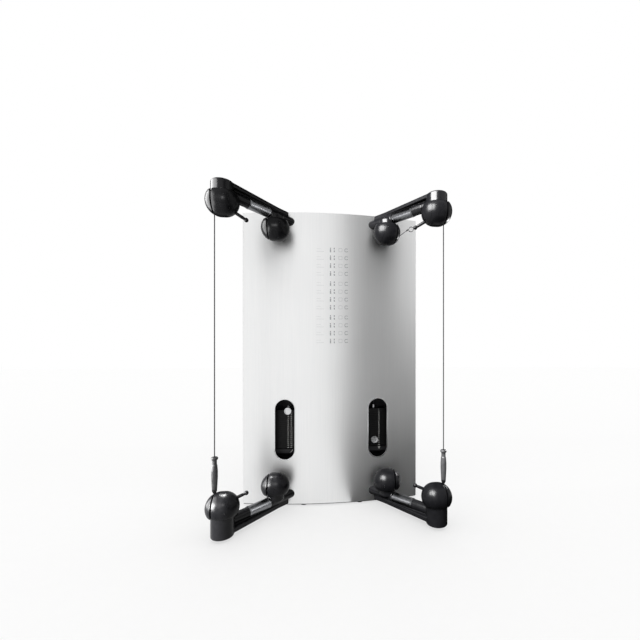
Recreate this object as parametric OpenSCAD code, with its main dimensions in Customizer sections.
// Wall-standing cable machine: a bowed front panel between four arms, each arm with two swivelling
// pulley heads, a taut cable down each side with a sliding grip, and two weight stacks inside.
// Millimetres. X runs left to right, the front faces -Y, +Z is up, origin on the floor.

/* [Panel] */
// Width of the front panel
panel_w = 1260; // [1200:10:1320]
// Height of the front panel
panel_h = 2060; // [2040:5:2100]
// How far the panel's side edges lie behind its middle
panel_bow = 66; // [50:2:76]
// Height of the panel's lower edge above the floor
panel_z = 14; // [10:1:20]
// Thickness of the panel sheet
panel_t = 3; // [2:0.5:4]
// Depth of the return folded back along each side edge
return_d = 30; // [22:1:34]
// Front of the panel's middle, ahead of the frame's centre line
panel_front = 110; // [106:1:120]

/* [Windows] */
// Width of each stack window
window_w = 137; // [120:1:150]
// Height of each stack window
window_h = 423; // [400:1:450]
// Distance of each window's centre line from the middle
window_x = 332; // [320:1:344]
// Height of the window's lower end above the floor
window_z = 327; // [319:1:339]
// Width of the bright rim round a window
rim_w = 6; // [4:0.5:9]
// How far the rim stands proud of the panel
rim_t = 1.6; // [1:0.1:3]

/* [Frame] */
// Thickness of the floor plate
plate_t = 12; // [8:1:15]
// Height of the floor plate's underside above the floor
foot_h = 8; // [6:1:12]
// Width of an upright's square tube
post_w = 60; // [50:1:64]
// Wall of the frame tubes
post_wall = 3; // [2:0.5:5]
// Distance of each upright's centre line in from the panel's side edge
post_inset = 70; // [64:1:80]
// Height of each crossbeam
beam_h = 72; // [66:1:80]
// Thickness of the rear, side and top covers
cover_t = 1.5; // [1:0.5:3]
// Depth from the frame's centre line to the rear cover
rear_y = 97; // [92:1:110]

/* [Arms] */
// Outside diameter of an arm's round tube
tube_d = 64; // [58:1:68]
// Width of the flat rail on an arm
rail_w = 46; // [36:1:54]
// Width that the rail grows to where it meets the boss
rail_wide = 118; // [100:1:118]
// Height of the rail on an upper arm
rail_top_h = 20; // [14:1:26]
// Height of the rail on a lower arm
rail_low_h = 25; // [18:1:28]
// Distance of an upper arm's tube axis below the panel's upper edge
arm_drop = 66; // [60:1:74]
// Distance of a lower arm's tube axis above the panel's lower edge
arm_rise = 73; // [69:1:80]
// Distance from the middle at which an arm passes through the panel
arm_in_x = 303; // [296:1:310]
// Distance of the outer swivel axis from the middle
outer_x = 640; // [620:1:660]
// Distance of the outer swivel axis ahead of the frame's centre line
outer_y = 480; // [460:1:500]
// Distance along an arm from the panel to the inner swivel axis
inner_run = 121; // [119:1:128]
// Diameter of the boss at an arm's end
boss_d = 130; // [120:1:138]
// Diameter of the neck that carries an inner head
neck_d = 116; // [104:1:120]
// Gap along the arm between the inner neck and the sleeve
sleeve_lead = 2; // [1:0.5:6]
// Length of the sleeve on an arm
sleeve_len = 162; // [150:1:182]
// Thickness of the sleeve
sleeve_t = 1.8; // [1:0.1:2.4]

/* [Heads] */
// Radius of a head's rounded ends
head_r = 85; // [80:1:88]
// Length of the straight part between a head's rounded ends
head_mid = 20; // [12:1:24]
// Distance of an upper outer head's centre below its arm's axis
head_drop = 57; // [54:1:60]
// Distance of a lower outer head's centre above its arm's axis
head_rise = 97; // [94:1:101]
// Distance of an upper inner head's centre below its arm's axis
inner_drop = 86; // [84:1:92]
// Distance of a lower inner head's centre above its arm's axis
inner_rise = 96; // [94:1:101]
// Distance from an outer head's centre to its flat seat
seat_h = 44; // [40:1:46]
// Distance from an inner head's centre to its flat seat
inner_seat_h = 46; // [42:1:47]
// Width of the cable slot in a head
slot_w = 10; // [9:0.5:12]
// Distance of the slot's middle from the swivel axis
slot_x = 44; // [42:1:50]
// Diameter of the outer swivel spindle
spindle_d = 36; // [30:1:40]
// Diameter of the inner swivel spindle
inner_spindle_d = 28; // [22:1:30]
// Reach of a head's lever from the swivel axis
lever_reach = 148; // [130:1:150]
// Diameter of a lever
lever_d = 20; // [14:1:22]

/* [Cables] */
// Diameter of a cable
cable_d = 6; // [4:0.5:7]
// Radius at which the cable runs round a head's pulley
pulley_pitch = 32; // [28:1:34]
// Radius at which the cable runs round an upper stack pulley
stack_pulley_pitch = 40; // [34:1:42]
// Distance of an outer head's axle from the head's centre, away from the seat
axle_drop = 12; // [6:1:14]
// Diameter of the axle of a pulley
axle_d = 12; // [8:1:14]

/* [Grips] */
// Length of a grip
grip_len = 208; // [180:1:230]
// Diameter of a grip at its middle
grip_d = 36; // [30:1:40]
// Diameter of the flange on a grip's upper end
flange_d = 39; // [36:1:46]
// Diameter of the cable's bore in a grip
grip_bore = 7; // [5:0.5:9]

/* [Weights] */
// Width of a weight plate
weight_w = 260; // [244:1:280]
// Depth of a weight plate
weight_d = 110; // [90:1:116]
// Height from one weight plate to the next
weight_pitch = 14; // [13:0.5:16]
// Number of weight plates in a stack
weight_count = 20; // [18:1:22]
// Number of plates picked by the left pin
left_picked = 1; // [1:1:4]
// Number of plates picked by the right pin
right_picked = 17; // [12:1:17]
// Distance of each stack's centre line from the middle
stack_x = 318; // [312:1:324]
// Height of the lowest plate's underside above the floor
stack_z = 386; // [379:1:394]
// Diameter of a guide rod
rod_d = 20; // [16:1:22]
// Distance of a guide rod from the stack's centre line
rod_x = 105; // [102:1:110]
// Diameter of the picking stem
stem_d = 25; // [22:1:28]
// Diameter of a pin's knob
knob_d = 53; // [40:1:56]
// Diameter of a pin's shaft
pin_d = 9; // [7:0.5:9.5]

/* [Hidden] */
$fn = 64;

// Clearances
seat_gap = 0.3;
run_gap = 0.05;
slide_gap = 0.4;
eps = 1;

// Bowed panel
half_w = panel_w / 2;
bow_r = (half_w * half_w + panel_bow * panel_bow) / (2 * panel_bow);
bow_y = bow_r - panel_front;
panel_top = panel_z + panel_h;
edge_y = panel_bow - panel_front;
function back_y(x) = bow_y - sqrt(pow(bow_r - panel_t, 2) - x * x);
clip_w = 30;
clip_h = 44;
clip_low_z = panel_z + 156;
clip_top_z = panel_top - 174;
arm_top_z = panel_top - arm_drop;
arm_low_z = panel_z + arm_rise;

// Frame
plate_top = foot_h + plate_t;
post_x = half_w - post_inset;
post_front = 2;
post_back = post_front + post_w;
post_in = post_x - post_w / 2;
post_top = arm_top_z + 42;
cover_x = half_w - panel_t - seat_gap;
beam_top_z = arm_top_z - beam_h / 2;
beam_low_z = arm_low_z - beam_h / 2;
bumper_h = 10;
shelf_h = 30;
shelf_z = stack_z - bumper_h - shelf_h;
rod_y = post_front + 33;
cover_back = rear_y + cover_t;
cover_top = post_top + cover_t;
vent_x = 300;
vent_w = 180;
vent_h = 9;
vent_step = 26;
vent_rows = 8;
vent_low_z = cover_top - 551.5;
screw_x = cover_x - 26.7;
screw_rows = 6;
screw_low_z = foot_h + 52;
screw_top_z = cover_top - 41.5;
anchor_x = 450;
anchor_y = 20;
anchor_d = 14;
anchor_step = 80;
bracket_x = 440;
bracket_z = post_top - 126;
bracket_step = 60;
bracket_w = 80;
bracket_h = 120;
bracket_t = 6;
bracket_hole = 12;

// Arms: a line in plan from the panel to the outer swivel axis
arm_in_y = -panel_front + 15;
arm_dx = outer_x - arm_in_x;
arm_dy = outer_y + arm_in_y;
arm_len = sqrt(arm_dx * arm_dx + arm_dy * arm_dy);
arm_turn = atan2(arm_dx, arm_dy);
arm_back = (post_front - arm_in_y) / cos(arm_turn);
arm_tail = arm_back + tube_d / 2 * tan(arm_turn);
flange_w = 90;
flange_h = 68;
flange_t = 8;
inner_x = arm_in_x + inner_run * sin(arm_turn);
inner_y = arm_in_y - inner_run * cos(arm_turn);
arm_bore = 20;
flare_run = 60;
flare_inset = 3;
flare_step = 0.6;
flare_bite = 4;
sleeve_gap = 0.2;
sleeve_run = inner_run + neck_d / 2 + sleeve_lead;
boss_proud = 1;
boss_top_z = arm_top_z + tube_d / 2 + rail_top_h + boss_proud;
boss_low_z = arm_low_z - tube_d / 2 - rail_low_h - 14;
spindle_top_z = boss_top_z - 14;
spindle_low_z = boss_low_z + 18;
inner_depth = 26;
head_sweep = head_r + head_mid / 2 + 2;

// Heads
head_top_z = arm_top_z - head_drop;
head_low_z = arm_low_z + head_rise;
inner_top_z = arm_top_z - inner_drop;
inner_low_z = arm_low_z + inner_rise;
pulley_w = slot_w - 1;
pulley_rim = pulley_pitch + cable_d / 2 + 3;
slot_back = pulley_pitch + pulley_rim + 1.5;
lever_in_x = 60;
outer_turn = 20;
recess_d = 9;
recess_x = -34;

// Parked pull cable
ring_r = 15;
ring_wire = 2.5;
pull_d = 4;
ring_gap = 3.5;
ring_reach = lever_reach + ring_gap + ring_r + ring_wire;
ring_x = outer_x - ring_reach * cos(24.4);
ring_y = -outer_y + ring_reach * sin(24.4);
pull_dx = ring_x - inner_x;
pull_dy = ring_y - inner_y;
pull_dist = sqrt(pull_dx * pull_dx + pull_dy * pull_dy);
pull_turn = atan2(pull_dy, pull_dx) + 90 - asin(slot_x / pull_dist);
pull_len = sqrt(pull_dist * pull_dist - slot_x * slot_x);
pull_z = -53;

// Grips and stacks
cable_x = outer_x + slot_x;
grip_z = head_low_z + sqrt(head_r * head_r - pow(slot_x - 10 - head_mid / 2, 2)) + seat_gap;
weight_t = weight_pitch - 0.4;
stack_top = stack_z + weight_count * weight_pitch;
stem_low = stack_z + 2;
stem_top = stack_top + 24;
stem_bore = cable_d + 1.2;
weight_front = rod_y - weight_d / 2;
knob_t = 12;
knob_gap = 2;
knob_front = weight_front - knob_gap - knob_t;
stack_pulley_z = beam_top_z - 73;
stack_pulley_w = 14;
cheek_w = 60;
cheek_t = 6;
cheek_y = 13;
cheek_low = 26;
stack_pulley_rim = stack_pulley_pitch + cable_d / 2 + 3;
stack_axle_d = 16;
stack_pulley_x = stack_x - stack_pulley_pitch;

module mirrored(side) { if (side < 0) mirror([1, 0, 0]) children(); else children(); }

// A solid bounded in front by the panel's bow, moved back by the inset
module inside_bow(inset, z, h) {
    intersection() {
        translate([0, bow_y, z]) cylinder(h = h, r = bow_r - inset, $fn = 720);
        children();
    }
}

// Upright slab with round ends, as the windows are
module stadium(w, h, y, d) {
    for (z = [w / 2, h - w / 2])
        translate([0, y, z]) rotate([-90, 0, 0]) cylinder(h = d, d = w, $fn = 96);
    translate([-w / 2, y, w / 2]) cube([w, d, h - w]);
}

module box_tube(x0, x1, y0, y1, z0, z1, axis) {
    w = post_wall;
    difference() {
        translate([x0, y0, z0]) cube([x1 - x0, y1 - y0, z1 - z0]);
        if (axis == "x")
            translate([x0 - eps, y0 + w, z0 + w])
                cube([x1 - x0 + 2 * eps, y1 - y0 - 2 * w, z1 - z0 - 2 * w]);
        else
            translate([x0 + w, y0 + w, z0 - eps])
                cube([x1 - x0 - 2 * w, y1 - y0 - 2 * w, z1 - z0 + 2 * eps]);
    }
}

module base_plate() {
    color("#2a2a2c") difference() {
        inside_bow(panel_t + 2, foot_h, plate_t)
            translate([-cover_x + cover_t + seat_gap, -panel_front, foot_h])
                cube([2 * (cover_x - cover_t - seat_gap), panel_front + rear_y, plate_t]);
        for (x = [-anchor_x, anchor_x], y = [anchor_y - anchor_step / 2, anchor_y + anchor_step / 2])
            translate([x, y, foot_h - eps]) cylinder(h = plate_t + 2 * eps, d = anchor_d);
    }
}

module levelling_feet() {
    color("#1c1c1e") for (s = [-1, 1], p = [[540, -20], [200, -68], [540, 70], [200, 70]])
        foot(s * p[0], p[1]);
    color("#1c1c1e") foot(0, 0);
}

module foot(x, y) {
    translate([x, y, 0]) {
        cylinder(h = foot_h - 3, d = 50);
        cylinder(h = foot_h, d = 16);
    }
}

module uprights() {
    color("#303033") for (s = [-1, 1])
        box_tube(s * post_x - post_w / 2, s * post_x + post_w / 2, post_front, post_back,
            plate_top, post_top, "z");
}

module upper_crossbeam() {
    color("#303033") box_tube(-post_in, post_in, post_front, post_back, beam_top_z,
        beam_top_z + beam_h, "x");
}

module lower_crossbeam() {
    color("#303033") box_tube(-post_in, post_in, post_front, post_back, beam_low_z,
        beam_low_z + beam_h, "x");
}

module stack_shelf() {
    color("#303033") box_tube(-post_in, post_in, post_front, post_back, shelf_z,
        shelf_z + shelf_h, "x");
}

// Blocks that hold the panel off the uprights
module panel_clips() {
    front = back_y(post_x + clip_w / 2) + seat_gap;
    color("#303033") for (s = [-1, 1], i = [0 : 2])
        translate([s * post_x - clip_w / 2, front, clip_low_z + i * (clip_top_z - clip_low_z) / 2])
            cube([clip_w, post_front - front, clip_h]);
}

module front_panel() {
    color("#c9cacc") difference() {
        union() {
            intersection() {
                difference() {
                    translate([0, bow_y, panel_z]) cylinder(h = panel_h, r = bow_r, $fn = 720);
                    translate([0, bow_y, panel_z - eps])
                        cylinder(h = panel_h + 2 * eps, r = bow_r - panel_t, $fn = 720);
                }
                translate([-half_w, -panel_front - eps, panel_z])
                    cube([panel_w, panel_bow + panel_t + eps, panel_h]);
            }
            for (s = [-1, 1])
                translate([s < 0 ? -half_w : half_w - panel_t, edge_y, panel_z])
                    cube([panel_t, return_d, panel_h]);
        }
        for (s = [-1, 1]) {
            translate([s * window_x, 0, window_z])
                stadium(window_w, window_h, -panel_front - 5, panel_bow + 20);
            mirrored(s) for (z = [arm_top_z, arm_low_z]) arm_line(z)
                translate([0, 0, -arm_back]) cylinder(h = arm_back + 60, d = tube_d + 2 * seat_gap);
            mirrored(s) arm_line(arm_top_z)
                translate([-rail_w / 2 - 1, -tube_d / 2 - rail_top_h - 1, 15])
                    cube([rail_w + 2, rail_top_h + 2, 40]);
        }
    }
}

// Bright rims, curved with the panel
module window_rims() {
    color("#dcdcde") for (s = [-1, 1]) intersection() {
        difference() {
            translate([0, bow_y, window_z - 20])
                cylinder(h = window_h + 40, r = bow_r + 0.2 + rim_t, $fn = 720);
            translate([0, bow_y, window_z - 21])
                cylinder(h = window_h + 42, r = bow_r + 0.2, $fn = 720);
        }
        difference() {
            translate([s * window_x, 0, window_z - rim_w])
                stadium(window_w + 2 * rim_w, window_h + 2 * rim_w, -panel_front - 9, 60);
            translate([s * window_x, 0, window_z]) stadium(window_w, window_h, -panel_front - 11, 70);
        }
    }
}

module side_cover() {
    color("#26262a") {
        translate([cover_x - cover_t, edge_y + 5, plate_top])
            cube([cover_t, rear_y - edge_y - 5, cover_top - plate_top]);
        translate([cover_x - cover_t - 30, rear_y - cover_t, plate_top])
            cube([30 + cover_t, cover_t, post_top - plate_top]);
    }
}

module left_side_cover() { mirror([1, 0, 0]) side_cover(); }
module right_side_cover() { side_cover(); }

module rear_cover() {
    color("#26262a") difference() {
        translate([-cover_x, rear_y, foot_h]) cube([2 * cover_x, cover_t, cover_top - foot_h]);
        for (s = [-1, 1], i = [0 : vent_rows - 1])
            translate([s * vent_x - vent_w / 2, rear_y - eps, vent_low_z + vent_step * i])
                cube([vent_w, cover_t + 2 * eps, vent_h]);
    }
}

module top_cover() {
    color("#26262a") inside_bow(panel_t + seat_gap, post_top, cover_t)
        translate([-cover_x + cover_t + seat_gap, -panel_front, post_top])
            cube([2 * (cover_x - cover_t - seat_gap), panel_front + rear_y - seat_gap, cover_t]);
}

module rear_cover_screws() {
    step = (screw_top_z - screw_low_z) / (screw_rows - 1);
    color("#8d8f92") for (s = [-1, 1], i = [0 : screw_rows - 1])
        translate([s * screw_x, cover_back, screw_low_z + i * step]) rotate([-90, 0, 0]) difference() {
            cylinder(h = 3, d = 11, $fn = 32);
            translate([0, 0, 1.4]) cylinder(h = 3, d = 4.5, $fn = 6);
        }
}

module wall_brackets() {
    color("#303033") for (s = [-1, 1]) difference() {
        translate([s * bracket_x - bracket_w / 2, cover_back, bracket_z - bracket_h / 2])
            cube([bracket_w, bracket_t, bracket_h]);
        for (dz = [-bracket_step / 2, bracket_step / 2])
            translate([s * bracket_x, cover_back - eps, bracket_z + dz]) rotate([-90, 0, 0])
                cylinder(h = bracket_t + 2 * eps, d = bracket_hole);
    }
}

module guide_rods() {
    color("#d4d5d8") for (s = [-1, 1], r = [-1, 1])
        translate([s * stack_x + r * rod_x, rod_y, shelf_z + shelf_h])
            cylinder(h = beam_top_z - shelf_z - shelf_h, d = rod_d);
}

module stack_bumpers() {
    color("#1a1a1b") for (s = [-1, 1], r = [-1, 1])
        translate([s * stack_x + r * rod_x, rod_y, shelf_z + shelf_h]) difference() {
            cylinder(h = bumper_h, d = rod_d + 22);
            translate([0, 0, -eps]) cylinder(h = bumper_h + 2 * eps, d = rod_d + 0.6);
        }
}

// Plates numbered from the lowest, first to last
module weight_plates(side, first, last) {
    color("#1d1d1f") for (i = [first : last])
        translate([side * stack_x, rod_y, stack_z + i * weight_pitch]) difference() {
            translate([-weight_w / 2, -weight_d / 2, 0]) cube([weight_w, weight_d, weight_t]);
            for (r = [-1, 1]) translate([r * rod_x, 0, -eps])
                cylinder(h = weight_t + 2 * eps, d = rod_d + 2 * slide_gap);
            translate([0, 0, -eps]) cylinder(h = weight_t + 2 * eps, d = stem_d + 2 * slide_gap);
            translate([0, 0, weight_t / 2]) rotate([90, 0, 0])
                cylinder(h = weight_d / 2 + eps, d = pin_d + 2 * run_gap, $fn = 24);
        }
}

module stem(side) {
    color("#c8c9cc") translate([side * stack_x, rod_y, 0]) difference() {
        union() {
            translate([0, 0, stem_low]) cylinder(h = stem_top - stem_low, d = stem_d);
            translate([0, 0, stack_top - 0.1]) cylinder(h = 10, d = stem_d + 12);
        }
        translate([0, 0, stem_low - eps])
            cylinder(h = stem_top - stem_low + 2 * eps, d = stem_bore, $fn = 24);
        for (i = [0 : weight_count - 1])
            translate([0, 0, stack_z + i * weight_pitch + weight_t / 2]) rotate([90, 0, 0])
                cylinder(h = stem_d, d = pin_d + 2 * run_gap, $fn = 24);
    }
}

module left_resting_plates() { weight_plates(-1, 0, weight_count - left_picked - 1); }
module right_resting_plates() { weight_plates(1, 0, weight_count - right_picked - 1); }
module left_head_plate() { weight_plates(-1, weight_count - left_picked, weight_count - 1); }
module right_picked_plates() { weight_plates(1, weight_count - right_picked, weight_count - 1); }
module left_stem() { stem(-1); }
module right_stem() { stem(1); }

// Knob outside, shaft through the plate and into the stem's wall
module pin(side, picked) {
    z = stack_z + (weight_count - picked) * weight_pitch + weight_t / 2;
    tip = rod_y - stem_bore / 2 - 1;
    color("#dfe0e2") translate([side * stack_x, 0, z]) rotate([-90, 0, 0]) {
        translate([0, 0, knob_front]) cylinder(h = knob_t, d = knob_d, $fn = 72);
        translate([0, 0, knob_front + knob_t])
            cylinder(h = weight_front - knob_front - knob_t - seat_gap, d = 22);
        translate([0, 0, knob_front]) cylinder(h = tip - knob_front, d = pin_d, $fn = 24);
    }
}

module left_pin() { pin(-1, left_picked); }
module right_pin() { pin(1, right_picked); }

// Grooved pulley about X, centred on its axle
module sheave(pitch, rim, w, bore) {
    rotate([0, 90, 0]) rotate_extrude($fn = 96) difference() {
        translate([bore / 2 + run_gap, -w / 2]) square([rim - bore / 2 - run_gap, w]);
        translate([pitch, 0]) circle(d = cable_d + 2 * seat_gap, $fn = 32);
        translate([pitch, -cable_d / 2 - seat_gap]) square([rim, cable_d + 2 * seat_gap]);
    }
}

module pulley_brackets() {
    color("#303033") for (s = [-1, 1]) translate([s * stack_pulley_x, rod_y, 0]) {
        for (c = [-1, 1]) translate([-cheek_w / 2, c * cheek_y - cheek_t / 2, stack_pulley_z - cheek_low])
            cube([cheek_w, cheek_t, beam_top_z - stack_pulley_z + cheek_low]);
        translate([-cheek_w / 2, -cheek_y - cheek_t / 2, beam_top_z - cheek_t])
            cube([cheek_w, 2 * cheek_y + cheek_t, cheek_t]);
        translate([0, -cheek_y, stack_pulley_z]) rotate([-90, 0, 0])
            cylinder(h = 2 * cheek_y, d = stack_axle_d);
    }
}

module stack_pulley(side) {
    color("#8d8f92") translate([side * stack_pulley_x, rod_y, stack_pulley_z]) rotate([0, 0, 90])
        sheave(stack_pulley_pitch, stack_pulley_rim, stack_pulley_w, stack_axle_d);
}

module left_stack_pulley() { stack_pulley(-1); }
module right_stack_pulley() { stack_pulley(1); }

module stack_cables() {
    color("#55565a") for (s = [-1, 1]) translate([s * stack_x, rod_y, stem_top - 12])
        cylinder(h = stack_pulley_z - stem_top + 12, d = cable_d, $fn = 24);
}

// Local frame of an arm: Z runs out along the tube from the panel, Y points down
module arm_line(z) {
    translate([arm_in_x, arm_in_y, z]) rotate([90, 0, arm_turn]) mirror([0, 1, 0])
        children();
}

module arm_cables() {
    color("#55565a") for (s = [-1, 1], z = [arm_top_z, arm_low_z]) mirrored(s) arm_line(z)
        translate([0, 0, 6 - arm_back])
            cylinder(h = arm_back + arm_len - spindle_d / 2 - seat_gap - 6, d = cable_d, $fn = 24);
}

// Plan of the flange that widens a rail until it is nearly as wide as the boss
module rail_flare() {
    start = rail_w / 2 - flare_inset;
    translate([arm_in_x, arm_in_y]) rotate(arm_turn)
        polygon([[-start, -flare_run], [start, -flare_run],
            [rail_wide / 2, -arm_len], [-rail_wide / 2, -arm_len]]);
}

// An arm: tube, rail, end boss and inner neck welded into one piece
module arm(z, up, rail_h, boss_z0, boss_z1, neck_z0, neck_z1, bore_z0, bore_z1, nb_z0, nb_z1) {
    color("#1b1b1d") difference() {
        union() {
            arm_line(z) translate([0, 0, -arm_tail]) cylinder(h = arm_tail + arm_len, d = tube_d);
            arm_line(z) translate([-rail_w / 2, up > 0 ? -tube_d / 2 - rail_h : 0, 22])
                cube([rail_w, tube_d / 2 + rail_h, arm_len - 22]);
            translate([0, 0, up > 0 ? z + tube_d / 2 - flare_bite : z - tube_d / 2 - rail_h + flare_step])
                linear_extrude(rail_h + flare_bite - flare_step) rail_flare();
            translate([arm_in_x - arm_back * sin(arm_turn) - flange_w / 2, post_front - flange_t,
                z - flange_h / 2]) cube([flange_w, flange_t, flange_h]);
            translate([outer_x, -outer_y, boss_z0]) cylinder(h = boss_z1 - boss_z0, d = boss_d);
            translate([inner_x, inner_y, neck_z0]) cylinder(h = neck_z1 - neck_z0, d = neck_d);
        }
        arm_line(z) translate([0, 0, -arm_tail - eps])
            cylinder(h = arm_tail + arm_len, d = arm_bore);
        translate([0, post_front, z - tube_d]) cube([outer_x, arm_tail, 2 * tube_d]);
        translate([outer_x, -outer_y, bore_z0]) cylinder(h = bore_z1 - bore_z0, d = spindle_d);
        translate([inner_x, inner_y, nb_z0]) cylinder(h = nb_z1 - nb_z0, d = inner_spindle_d);
        if (up > 0) translate([outer_x, -outer_y, head_top_z])
            cylinder(h = seat_h + seat_gap, r = head_sweep);
    }
}

module top_arm() {
    seat = head_top_z + seat_h + seat_gap;
    neck = inner_top_z + inner_seat_h + seat_gap;
    arm(arm_top_z, 1, rail_top_h, seat, boss_top_z, neck, arm_top_z, seat - eps, spindle_top_z,
        neck - eps, neck + inner_depth);
}

module bottom_arm() {
    seat = head_low_z - seat_h - seat_gap;
    neck = inner_low_z - inner_seat_h - seat_gap;
    arm(arm_low_z, -1, rail_low_h, boss_low_z, seat, arm_low_z, neck, spindle_low_z, seat + eps,
        neck - inner_depth, neck + eps);
}

module left_top_arm() { mirror([1, 0, 0]) top_arm(); }
module right_top_arm() { top_arm(); }
module left_bottom_arm() { mirror([1, 0, 0]) bottom_arm(); }
module right_bottom_arm() { bottom_arm(); }

// Bright sleeves that wrap the tube up to the rail's sides
module sleeve(z, up, rail_h) {
    arm_line(z) difference() {
        translate([0, 0, sleeve_run]) cylinder(h = sleeve_len, d = tube_d + 2 * (sleeve_gap + sleeve_t));
        translate([0, 0, sleeve_run - eps])
            cylinder(h = sleeve_len + 2 * eps, d = tube_d + 2 * sleeve_gap);
        translate([-tube_d, up > 0 ? -tube_d : 0, sleeve_run - eps])
            translate([tube_d - rail_w / 2 - 0.5, 0, 0]) cube([rail_w + 1, tube_d, sleeve_len + 2 * eps]);
    }
}

module arm_sleeves() {
    color("#6d6e71") for (s = [-1, 1]) mirrored(s) {
        sleeve(arm_top_z, 1, rail_top_h);
        sleeve(arm_low_z, -1, rail_low_h);
    }
}

// Place a head's local frame: origin at its centre, +X outward, seat up
module at_head(side, x, y, z, up, turn) {
    mirrored(side) translate([x, y, z]) rotate([0, 0, turn])
        if (up > 0) children(); else mirror([0, 0, 1]) children();
}

module at_outer(side, up) {
    at_head(side, outer_x, -outer_y, up > 0 ? head_top_z : head_low_z, up, 0) children();
}

module at_inner(side, up) {
    at_head(side, inner_x, inner_y, up > 0 ? inner_top_z : inner_low_z, up,
        side > 0 && up > 0 ? pull_turn : 0) children();
}

// Line of a lever in a head's frame: Z runs outward from the ball
module lever_line(root_z, tip_z) {
    tilt = atan2(root_z - tip_z, lever_reach - 90);
    rotate([0, 0, 180 - outer_turn]) translate([90, 0, root_z]) rotate([0, 90 + tilt, 0])
        translate([0, 0, -90 + lever_in_x]) children();
}

module head_shell(seat, sp_d, sp_len, pulley_y, pulley_z) {
    difference() {
        union() {
            intersection() {
                union() {
                    for (x = [-head_mid / 2, head_mid / 2])
                        translate([x, 0, 0]) sphere(r = head_r, $fn = 96);
                    translate([-head_mid / 2, 0, 0]) rotate([0, 90, 0])
                        cylinder(h = head_mid, r = head_r, $fn = 96);
                }
                translate([-120, -120, -120]) cube([240, 240, 120 + seat]);
            }
            translate([0, 0, seat - 2]) cylinder(h = sp_len + 2, d = sp_d - 2 * run_gap);
        }
        translate([slot_x - slot_w / 2, -120, -120])
            cube([slot_w, 120 + pulley_y + pulley_rim + 1.5, 240]);
        translate([0, 0, seat - 20]) cylinder(h = sp_len + 30, d = cable_d + 4, $fn = 24);
        translate([recess_x, -head_r - eps, 8]) rotate([-90, 0, 0])
            cylinder(h = 14, d = recess_d, $fn = 24);
    }
    translate([slot_x - slot_w / 2 - 1, pulley_y, pulley_z]) rotate([0, 90, 0])
        cylinder(h = slot_w + 2, d = axle_d, $fn = 32);
}

module outer_head(side, up) {
    depth = up > 0 ? spindle_top_z - head_top_z - seat_h : head_low_z - seat_h - spindle_low_z;
    color("#1b1b1d") at_outer(side, up) difference() {
        head_shell(seat_h, spindle_d, depth - 1, pulley_pitch, -axle_drop);
        lever_line(lever_root(up), lever_tip(up))
            cylinder(h = 60, d = lever_d + 2 * seat_gap, $fn = 32);
    }
}

function lever_root(up) = up > 0 ? -62 : -43;
function lever_tip(up) = up > 0 ? -92 : -62;

// The sloped part is as long as reaches the lever's full reach
module lever(side, up) {
    tilt = atan2(lever_root(up) - lever_tip(up), lever_reach - 90);
    run = 90 - lever_in_x + (lever_reach - 90) / cos(tilt) - 13 * sin(tilt);
    color("#1b1b1d") at_outer(side, up) lever_line(lever_root(up), lever_tip(up)) {
        translate([0, 0, 0.5]) cylinder(h = run - 10, d = lever_d, $fn = 32);
        translate([0, 0, run - 14]) cylinder(h = 14, d = 26, $fn = 48);
    }
}

module outer_pulley(side, up) {
    color("#8d8f92") at_outer(side, up) translate([slot_x, pulley_pitch, -axle_drop])
        sheave(pulley_pitch, pulley_rim, pulley_w, axle_d);
}

module inner_head(side, up) {
    color("#1b1b1d") at_inner(side, up)
        head_shell(inner_seat_h, inner_spindle_d, inner_depth - 1, inner_pulley_y, inner_pulley_z);
}

inner_pulley_y = 16;
inner_pulley_z = pull_z + pulley_pitch;

module inner_pulley(side, up) {
    color("#8d8f92") at_inner(side, up) translate([slot_x, inner_pulley_y, inner_pulley_z])
        sheave(pulley_pitch, pulley_rim, pulley_w, axle_d);
}

module left_top_head() { outer_head(-1, 1); }
module left_top_lever() { lever(-1, 1); }
module left_top_pulley() { outer_pulley(-1, 1); }
module right_top_head() { outer_head(1, 1); }
module right_top_lever() { lever(1, 1); }
module right_top_pulley() { outer_pulley(1, 1); }
module left_bottom_head() { outer_head(-1, -1); }
module left_bottom_lever() { lever(-1, -1); }
module left_bottom_pulley() { outer_pulley(-1, -1); }
module right_bottom_head() { outer_head(1, -1); }
module right_bottom_lever() { lever(1, -1); }
module right_bottom_pulley() { outer_pulley(1, -1); }
module left_top_inner_head() { inner_head(-1, 1); }
module left_top_inner_pulley() { inner_pulley(-1, 1); }
module right_top_inner_head() { inner_head(1, 1); }
module right_top_inner_pulley() { inner_pulley(1, 1); }
module left_bottom_inner_head() { inner_head(-1, -1); }
module left_bottom_inner_pulley() { inner_pulley(-1, -1); }
module right_bottom_inner_head() { inner_head(1, -1); }
module right_bottom_inner_pulley() { inner_pulley(1, -1); }

// Side cable, straight from the upper pulley to the lower one
module side_cable(side) {
    color("#55565a") translate([side * cable_x, -outer_y, head_low_z + axle_drop])
        cylinder(h = head_top_z - head_low_z - 2 * axle_drop, d = cable_d, $fn = 32);
}

module left_cable() { side_cable(-1); }
module right_cable() { side_cable(1); }

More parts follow.
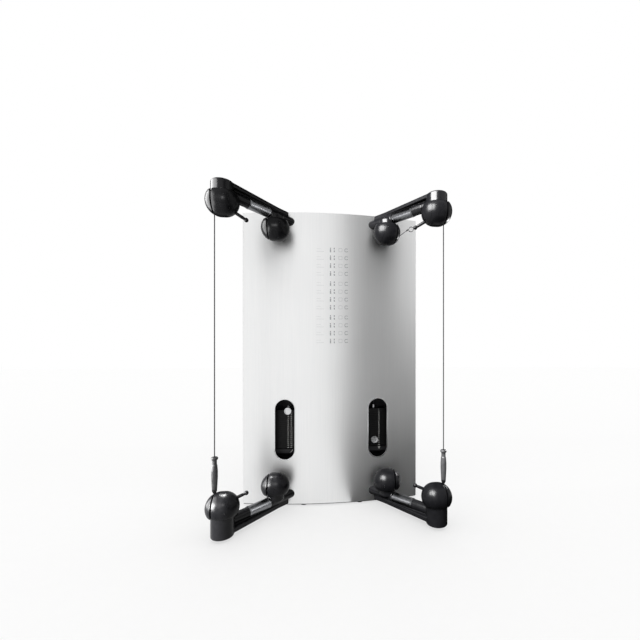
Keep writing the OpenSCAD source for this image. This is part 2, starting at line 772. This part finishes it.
// Turned grip that slides on the side cable
module grip(side) {
    r = grip_d / 2;
    color("#3a3a3d") translate([side * cable_x, -outer_y, grip_z]) rotate_extrude($fn = 72)
        difference() {
            polygon([[0, 0], [10, 0], [10, 8], [13.5, 10], [14.5, 20], [15.5, 40], [r, 95],
                [r, grip_len - 80], [15.5, grip_len - 48], [13, grip_len - 42], [13, grip_len - 20],
                [flange_d / 2, grip_len - 12], [flange_d / 2, grip_len - 4], [15, grip_len],
                [0, grip_len]]);
            translate([-1, -1]) square([grip_bore / 2 + 1, grip_len + 2]);
        }
}

module left_grip() { grip(-1); }
module right_grip() { grip(1); }

// Pull cable of the right upper inner head, parked by the lever's tip
module pull_cable_and_ring() {
    color("#55565a") at_inner(1, 1) translate([slot_x, 0, pull_z + (cable_d - pull_d) / 2]) {
        translate([0, inner_pulley_y, 0]) rotate([90, 0, 0])
            cylinder(h = inner_pulley_y + pull_len - ring_r - ring_wire - seat_gap,
                d = pull_d, $fn = 24);
        translate([0, -pull_len, 0]) rotate([0, 90, 0]) rotate_extrude($fn = 48)
            translate([ring_r, 0]) circle(r = ring_wire, $fn = 24);
    }
}

base_plate();
levelling_feet();
uprights();
upper_crossbeam();
lower_crossbeam();
stack_shelf();
panel_clips();
front_panel();
window_rims();
left_side_cover();
right_side_cover();
rear_cover();
top_cover();
rear_cover_screws();
wall_brackets();
guide_rods();
stack_bumpers();
left_resting_plates();
right_resting_plates();
pulley_brackets();
stack_cables();
arm_cables();
left_top_arm();
right_top_arm();
left_bottom_arm();
right_bottom_arm();
arm_sleeves();
left_head_plate();
left_stem();
right_picked_plates();
right_stem();
left_pin();
right_pin();
left_stack_pulley();
right_stack_pulley();
left_top_head();
left_top_lever();
left_top_pulley();
left_cable();
left_grip();
right_top_head();
right_top_lever();
right_top_pulley();
right_cable();
right_grip();
left_bottom_head();
left_bottom_lever();
left_bottom_pulley();
right_bottom_head();
right_bottom_lever();
right_bottom_pulley();
left_top_inner_head();
left_top_inner_pulley();
right_top_inner_head();
right_top_inner_pulley();
left_bottom_inner_head();
left_bottom_inner_pulley();
right_bottom_inner_head();
right_bottom_inner_pulley();
pull_cable_and_ring();
